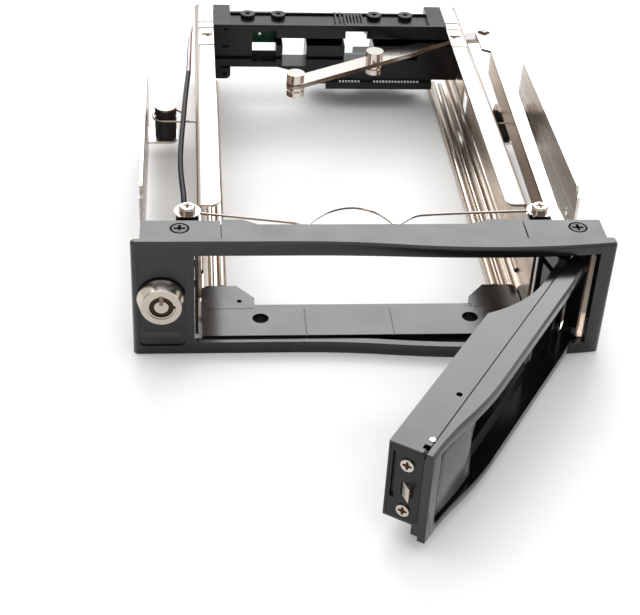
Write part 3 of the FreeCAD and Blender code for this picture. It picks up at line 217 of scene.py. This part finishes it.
def add_bump(tree, shader, noise, strength, depth):
    """Relief from the noise, with its depth in millimetres."""
    bump = tree.nodes.new("ShaderNodeBump")
    bump.inputs["Strength"].default_value = strength
    bump.inputs["Distance"].default_value = depth * MM
    tree.links.new(noise.outputs["Fac"], bump.inputs["Height"])
    tree.links.new(bump.outputs["Normal"], shader.inputs["Normal"])


def scaled(colour, share):
    return tuple(part * share for part in colour)


# ---- materials -----------------------------------------------------------------------

# Colour, roughness, and where they aren't the usual ones, strength of grain and IOR.
PLASTICS = {
    "bezel_black": ((0.0055, 0.0056, 0.0062), 0.24),
    "door_black": ((0.0050, 0.0051, 0.0056), 0.14, 0.04),
    "black_plastic": ((0.0040, 0.0040, 0.0043), 0.26, 0.12, 1.38),
    "shelf_black": ((0.0050, 0.0050, 0.0053), 0.2),
    "grey_plastic": ((0.05, 0.05, 0.053), 0.24),
    "smoked": ((0.022, 0.023, 0.026), 0.12, 0.0),
    "sleeve": ((0.006, 0.0075, 0.012), 0.4, 0.12, 1.3),
    "matt_black": ((0.003, 0.003, 0.0032), 0.6, 0.05, 1.35),
    # Pale pads for the contacts' ends: a painted highlight of their glint.
    "painted_contact_glint": ((0.85, 0.84, 0.8), 0.3, 0.02),
    "wire_blue": ((0.008, 0.03, 0.16), 0.4, 0.02, 1.3),
    "wire_red": ((0.36, 0.012, 0.01), 0.4, 0.02, 1.3),
    "wire_white": ((0.7, 0.7, 0.68), 0.3, 0.02),
}

# Colour and roughness, and where it isn't the usual one, the colour of upright faces, a painted
# reflection of a warm, dim surround.
METALS = {
    "bright_steel": ((0.72, 0.68, 0.64), 0.14, (0.30, 0.25, 0.21)),
    "roller_steel": ((0.74, 0.71, 0.67), 0.12, (0.62, 0.56, 0.50)),
    "chrome": ((0.72, 0.68, 0.63), 0.17, (0.50, 0.45, 0.39)),
    "black_steel": ((0.05, 0.05, 0.052), 0.3),
    "contact_metal": ((0.75, 0.72, 0.66), 0.2),
    # Dark brown painted shade in the cross recesses, and in the keyway painted shade over its dark
    # brass.
    "painted_recess_shade": ((0.05, 0.032, 0.018), 0.3),
    "slot_brown": ((0.25, 0.19, 0.14), 0.3),
}

# As METALS, then the grain's scale along the sheet, its strength, and how much darker the painted
# reflection streaks on the upright faces are.
ROLLED_SHEETS = {
    "plated_steel": ((0.74, 0.71, 0.67), 0.25, (0.54, 0.43, 0.34), 0.004, 0.002, 0.35),
    "plate_steel": ((0.74, 0.71, 0.67), 0.27, (0.73, 0.69, 0.64), 0.006, 0.006, 0.2),
}

# How far up a metal face looks where it leaves its side colour, a painted reflection, and where it
# counts as level.
PAINTED_REFLECTION_STEP = (0.78, 0.97)


def make_plastic(name, colour, roughness, grain=0.12, ior=1.5):
    """Injection-moulded plastic: fine spark-eroded grain and faint sheen changes."""
    material, tree, shader = new_material(name)
    tone = add_noise(tree, 60, 3)
    tree.links.new(add_colours(tree, tone, scaled(colour, 0.85), scaled(colour, 1.15)),
                   shader.inputs["Base Color"])
    sheen = add_noise(tree, 90, 5)
    tree.links.new(add_range(tree, sheen, roughness - 0.03, roughness + 0.04),
                   shader.inputs["Roughness"])
    shader.inputs["IOR"].default_value = ior
    add_bump(tree, shader, add_noise(tree, 5200, 2), grain, 0.04)
    return material


def make_metal(name, colour, roughness, side=None, along=1, grain=0.01, painted_bands=0):
    """Plated metal. Level faces take the colour, and upright and rounded ones the side colour,
    which is warmer and darker: a painted reflection, with darker painted streaks along rolled
    sheet."""
    material, tree, shader = new_material(name)
    shader.inputs["Metallic"].default_value = 1
    side = side or scaled(colour, 0.8)
    level = add_step(tree, add_direction(tree, "Normal").outputs["Z"], *PAINTED_REFLECTION_STEP)
    if painted_bands:
        painted_streaks = add_noise(tree, 70, 1, (1, 0.01, 3))
        side = add_colours(tree, painted_streaks, scaled(side, 1 - painted_bands), side)
    tree.links.new(add_mix(tree, level, side, colour), shader.inputs["Base Color"])
    lines = add_noise(tree, 900, 2, (1, along, 1))
    tree.links.new(add_range(tree, lines, roughness * 0.9, roughness * 1.1),
                   shader.inputs["Roughness"])
    add_bump(tree, shader, lines, grain, 0.04)
    return material


def make_board_green():
    """Solder mask over copper tracks, which show as a lighter green."""
    material, tree, shader = new_material("board_green")
    copper = add_noise(tree, 420, 1, (1, 1, 0.25))
    tree.links.new(add_colours(tree, copper, (0.002, 0.07, 0.018), (0.006, 0.14, 0.035)),
                   shader.inputs["Base Color"])
    shader.inputs["Roughness"].default_value = 0.28
    add_bump(tree, shader, copper, 0.3, 0.04)
    return material


def make_rubber():
    material, tree, shader = new_material("rubber")
    grain = add_noise(tree, 2200, 3)
    tree.links.new(add_colours(tree, grain, (0.010, 0.010, 0.010), (0.022, 0.022, 0.022)),
                   shader.inputs["Base Color"])
    shader.inputs["Roughness"].default_value = 0.62
    add_bump(tree, shader, grain, 0.3, 0.05)
    return material


materials = {"board_green": make_board_green(), "rubber": make_rubber()}
materials.update((name, make_plastic(name, *look)) for name, look in PLASTICS.items())
materials.update((name, make_metal(name, *look)) for name, look in METALS.items())
materials.update((name, make_metal(name, *look)) for name, look in ROLLED_SHEETS.items())


# ---- finishes of the solids ----------------------------------------------------------

NODES_OF = {
    "bezel_black": ("front_bezel", "left_corner_block", "right_corner_block"),
    "door_black": ("door_frame", "door_body"),
    "shelf_black": ("front_shelf",),
    "black_plastic": ("backplane_housing", "sata_connector", "rear_ports", "door_end_cap"),
    "matt_black": ("strike_plate",),
    "grey_plastic": ("release_handle",),
    "smoked": ("led_light_bar",),
    "sleeve": ("led_lead", "led_wires"),
    "rubber": ("left_damper", "right_damper"),
    "board_green": ("led_board", "indicator_pcb", "connector_pcb"),
    "black_steel": ("bezel_screws",),
    "chrome": ("lock_body", "lock_plug", "door_end_screws", "latch_bolt"),
    "plated_steel": ("lock_clip", "lock_cam", "hinge_bracket", "left_rail", "right_rail",
                     "link_bar"),
    "plate_steel": ("left_side_plate", "right_side_plate"),
    "roller_steel": ("ejector_rollers",),
    "contact_metal": ("sata_contacts",),
    "bright_steel": ("hinge_pin", "hinge_spring", "strike_rivets", "plate_screws", "damper_caps",
                     "left_damper_clip", "right_damper_clip", "spring_washers", "spring_screws",
                     "spring_wire", "lever_pivot_screw", "crank_pin", "handle_pin",
                     "ejector_lever", "lever_pin"),
}
MATERIAL_OF = {node: material for material, group in NODES_OF.items() for node in group}

# Width of the rounded edges, in millimetres.
EDGE_ROUND = {
    "front_bezel": 0.45, "left_corner_block": 0.35, "right_corner_block": 0.35,
    "front_shelf": 0.3, "door_frame": 0.5, "door_body": 0.4, "door_end_cap": 0.2,
    "backplane_housing": 0.35, "release_handle": 0.3, "left_rail": 0.12, "right_rail": 0.12,
    "left_side_plate": 0.12, "right_side_plate": 0.12, "link_bar": 0.12, "ejector_lever": 0.15,
    "latch_bolt": 0.2, "rear_ports": 0.2, "sata_connector": 0.15,
}
WELD_REACH = 0.002
SHARP_EDGE = math.radians(34)


def dress_nodes():
    for name, node in nodes.items():
        node.data.materials.clear()
        node.data.materials.append(materials[MATERIAL_OF[name]])
        if name in EDGE_ROUND:
            weld = node.modifiers.new("weld", "WELD")
            weld.merge_threshold = WELD_REACH * MM
            bevel = node.modifiers.new("edge", "BEVEL")
            bevel.width = EDGE_ROUND[name] * MM
            bevel.segments = 2
            bevel.limit_method = "ANGLE"
            bevel.angle_limit = SHARP_EDGE
            bevel.use_clamp_overlap = True
            bevel.harden_normals = True


# ---- the LED lead's three single wires -----------------------------------------------

# Each wire's place in the bundle: how far to the right and how far up.
WIRES = {"wire_blue": (-0.45, -0.35), "wire_red": (0.45, -0.3), "wire_white": (0.0, 0.5)}
WIRE_RADIUS = 0.45


def make_wires():
    """Round wires on the solids' course, from inside the sleeve's mouth to the housing's rear."""
    for name, (aside, above) in WIRES.items():
        route = [(-56.8 + aside, 142.5, 25.6 + above), (-56.4 + aside, 158, 27 + 1.6 * above),
                 (-56 + aside / 2, 173, 28 + above), (-55.3, 180, 27 + 1.4 * above)]
        curve = bpy.data.curves.new(name, "CURVE")
        curve.dimensions = "3D"
        curve.bevel_depth = WIRE_RADIUS * MM
        curve.bevel_resolution = 4
        curve.use_fill_caps = True
        spline = curve.splines.new("NURBS")
        spline.points.add(len(route) - 1)
        for point, place in zip(spline.points, route):
            point.co = (*(part * MM for part in place), 1)
        spline.order_u = 3
        spline.use_endpoint_u = True
        wire = bpy.data.objects.new(name, curve)
        bpy.context.scene.collection.objects.link(wire)
        curve.materials.append(materials[name])
        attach(wire, "cage")
        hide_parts("led_wires")


# ---- small parts that the solids leave plain -----------------------------------------

SPRING_SCREW_RADIUS = 2.7
DOOR_SCREW_RADIUS = 1.9
DOOR_END_PLACE = (-1.1, -89.08)
DOOR_END_FACING = (-0.54, -0.842, 0)
RECESS_DEPTH = 0.3

PLUG_RADIUS = 4.3
KEYWAY_DEPTH = 0.45

DATA_CONTACTS = 7
POWER_CONTACTS = 15
CONTACT_PITCH = 1.27
CONTACT_HALF = 0.35
TIP_HALF = 0.33

EAR_FRONT = 14.7
EAR_MIDDLE = 8.5
EAR_SHADE_HALF = 8.3


def node_box(name):
    """A node's lowest and highest corners at rest, in millimetres."""
    low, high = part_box(name)
    return Vector(low) / MM, Vector(high) / MM


def add_prism(name, outline, origin, across, up, bottom, top, material, body):
    """A flat outline in millimetres, set on a face and given a thickness."""
    origin, across, up = Vector(origin) * MM, Vector(across), Vector(up)
    out = across.cross(up)
    corners = [origin + (across * u + up * v + out * level) * MM
               for level in (bottom, top) for u, v in outline]
    count = len(outline)
    faces = [tuple(reversed(range(count))), tuple(range(count, 2 * count))]
    faces += [(i, (i + 1) % count, count + (i + 1) % count, count + i) for i in range(count)]
    mesh = bpy.data.meshes.new(name)
    mesh.from_pydata([tuple(corner) for corner in corners], [], faces)
    mesh.materials.append(materials[material])
    piece = bpy.data.objects.new(name, mesh)
    bpy.context.scene.collection.objects.link(piece)
    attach(piece, body)


def cross_outline(reach, half):
    """The mouth of a cross recess: four blunt arms with a small slope at their roots."""
    arm = ((half * 1.7, -half * 1.7), (reach, -half * 0.8), (reach, half * 0.8))
    points = []
    for cosine, sine in ((1, 0), (0, 1), (-1, 0), (0, -1)):
        points += [(u * cosine - v * sine, u * sine + v * cosine) for u, v in arm]
    return points


def circle_outline(radius, count=32):
    turns = [2 * math.pi * i / count for i in range(count)]
    return [(radius * math.cos(turn), radius * math.sin(turn)) for turn in turns]


def rectangle(x0, y0, x1, y1):
    return [(x0, y0), (x1, y0), (x1, y1), (x0, y1)]


def make_recesses():
    """Dark mouths of the cross recesses, which are too small to shade themselves."""
    low, high = node_box("spring_screws")
    for side, x in (("left", low.x + SPRING_SCREW_RADIUS), ("right", high.x - SPRING_SCREW_RADIUS)):
        top = (x, (low.y + high.y) / 2, high.z)
        add_prism(f"spring_cross_{side}", cross_outline(1.7, 0.34), top, X, Y,
                  -RECESS_DEPTH, 0.02, "painted_recess_shade", "cage")
    low, high = node_box("door_end_screws")
    along = Vector(Z).cross(Vector(DOOR_END_FACING).normalized())
    for level, z in (("low", low.z + DOOR_SCREW_RADIUS), ("high", high.z - DOOR_SCREW_RADIUS)):
        add_prism(f"door_cross_{level}", cross_outline(1.35, 0.3), (*DOOR_END_PLACE, z), along, Z,
                  -RECESS_DEPTH, 0.03, "painted_recess_shade", "door")


def make_lock_face():
    """The keyway's bottom, dark brass with painted shade, its bright middle post, and the slot at
    12 o'clock.
    """
    low, high = node_box("lock_plug")
    face = (low.x + PLUG_RADIUS, low.y + KEYWAY_DEPTH, high.z - PLUG_RADIUS)
    add_prism("painted_recess_shade", circle_outline(3.72), face, X, Z, -0.5, 0.05,
              "painted_recess_shade", "lock_core")
    add_prism("key_post", circle_outline(2.15), face, X, Z, 0, 0.5, "chrome", "lock_core")
    add_prism("key_slot", rectangle(-0.6, 0.7, 0.6, 4.3), face, X, Z, 0, 0.58,
              "slot_brown", "lock_core")


def make_contacts():
    """The ends of the data and power contacts, at the connector's front edge, as pale pads: a
    painted highlight of their glint.
    """
    low, high = node_box("sata_contacts")
    first_data = low.x + CONTACT_HALF
    first_power = high.x - CONTACT_HALF - CONTACT_PITCH * (POWER_CONTACTS - 1)
    connector_low, connector_high = node_box("sata_connector")
    front, top = connector_low.y, (0, 0, connector_high.z)
    for group, first, count in (("data", first_data, DATA_CONTACTS),
                                ("power", first_power, POWER_CONTACTS)):
        for number in range(count):
            x = first + CONTACT_PITCH * number
            outline = rectangle(x - TIP_HALF, front - 0.25, x + TIP_HALF, front + 0.5)
            add_prism(f"contact_{group}_{number + 1}", outline, top, X, Y, -0.5, 0.06,
                      "painted_contact_glint", "cage")


def make_seam_shadow():
    """A dark strip closing the bottom of the seam beside the left corner block: painted shade."""
    low, high = node_box("left_corner_block")
    shade_strip = rectangle(high.x - 0.2, low.y + 0.4, high.x + 0.4, low.y + 9.5)
    add_prism("seam_shadow", shade_strip, (0, 0, high.z - 0.7), X, Y, -1.5, 0, "matt_black", "cage")


def make_shelf_details():
    """The outer front corners of the shelf's ears, and dark lines in front of them: painted shade
    along the step between each ear and the plate.
    """
    low, high = node_box("front_shelf")
    inner, outer, back = high.x - 17.2, high.x - 0.1, high.y - 1.4
    corner = [(inner, EAR_FRONT), (outer, EAR_FRONT), (outer, back)]
    mirrored = [(-x, y) for x, y in reversed(corner)]
    for side, outline in (("right", corner), ("left", mirrored)):
        add_prism(f"ear_corner_{side}", outline, (0, 0, high.z - 0.6), X, Y, -0.8, 0,
                  "shelf_black", "cage")
    # Painted shade: a dark line along the step in front of each ear.
    for side, x in (("left", low.x + EAR_MIDDLE), ("right", high.x - EAR_MIDDLE)):
        shade_strip = rectangle(x - EAR_SHADE_HALF, EAR_FRONT - 0.3, x + EAR_SHADE_HALF, EAR_FRONT - 0.08)
        add_prism(f"ear_step_shade_{side}", shade_strip, (0, 0, high.z), X, Y, -0.3, 0.02,
                  "matt_black", "cage")


def make_strike_tab():
    """The bright end of the strike plate's tongue."""
    low, high = node_box("strike_plate")
    tongue = rectangle(high.x - 0.1, low.y + 0.3, high.x + 0.9, low.y + 2.1)
    add_prism("strike_tab", tongue, (0, 0, low.z + 6.4), X, Y, 0, 6, "bright_steel", "cage")


bpy.context.scene.view_settings.view_transform = "Standard"
make_camera()
make_floor()
make_lamps()
make_world()
dress_nodes()
make_wires()
make_recesses()
make_lock_face()
make_contacts()
make_seam_shadow()
make_shelf_details()
make_strike_tab()
